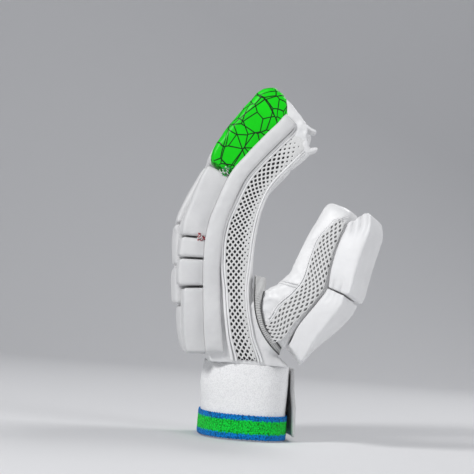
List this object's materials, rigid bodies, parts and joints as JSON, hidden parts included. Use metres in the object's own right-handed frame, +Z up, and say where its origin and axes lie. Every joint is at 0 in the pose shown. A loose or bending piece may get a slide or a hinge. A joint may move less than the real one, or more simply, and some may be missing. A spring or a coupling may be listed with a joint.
{
  "type": "cricket batting glove",
  "caption": "Left-hand padded batting glove standing on its knitted cuff, with finger rolls, mesh side panel and a padded thumb.",
  "frame": {"origin": "centre of the glove's box, on the surface that it stands on", "axes": "+Z up from cuff to fingertips, +X out of the palm, +Y from the index side to the little finger side"},
  "size_m": [0.1668, 0.128, 0.2877],
  "materials": {
    "leather_white": "soft grain",
    "pad_white": "smooth satin",
    "pad_green": "smooth with thin dark lines",
    "mesh_white": "open mesh",
    "knit_white": "fine rib knit",
    "knit_stripes": "woven blue, green and blue stripes",
    "strap_grey": "fuzzy hook and loop"
  },
  "bodies": {
    "root": {"hand_shell": "leather_white", "index_stall": "leather_white", "middle_stall": "leather_white", "ring_stall": "leather_white", "little_stall": "leather_white", "tip_tab_upper": "leather_white", "tip_tab_lower": "leather_white", "thumb_stall": "leather_white", "side_bar": "pad_white", "welt_back": "pad_white", "welt_palm": "pad_white", "side_mesh": "mesh_white", "thumb_mesh": "mesh_white", "thumb_upper_pad": "pad_white", "thumb_lower_pad": "pad_white", "thumb_welt": "leather_white", "cuff": "knit_white", "stripe_band": "knit_stripes", "strap_flap": "strap_grey", "index_roll_4": "pad_white", "index_roll_3": "pad_white", "index_roll_2": "pad_white", "index_upper_pad": "pad_white", "index_tip_pad": "pad_green", "middle_roll_4": "pad_white", "middle_roll_3": "pad_white", "middle_roll_2": "pad_white", "middle_upper_pad": "pad_white", "middle_tip_pad": "pad_white", "ring_roll_4": "pad_white", "ring_roll_3": "pad_white", "ring_roll_2": "pad_white", "ring_upper_pad": "pad_white", "ring_tip_pad": "pad_white", "little_roll_4": "pad_white", "little_roll_3": "pad_white", "little_roll_2": "pad_white", "little_upper_pad": "pad_white", "little_tip_pad": "pad_white"}
  },
  "joints": []
}
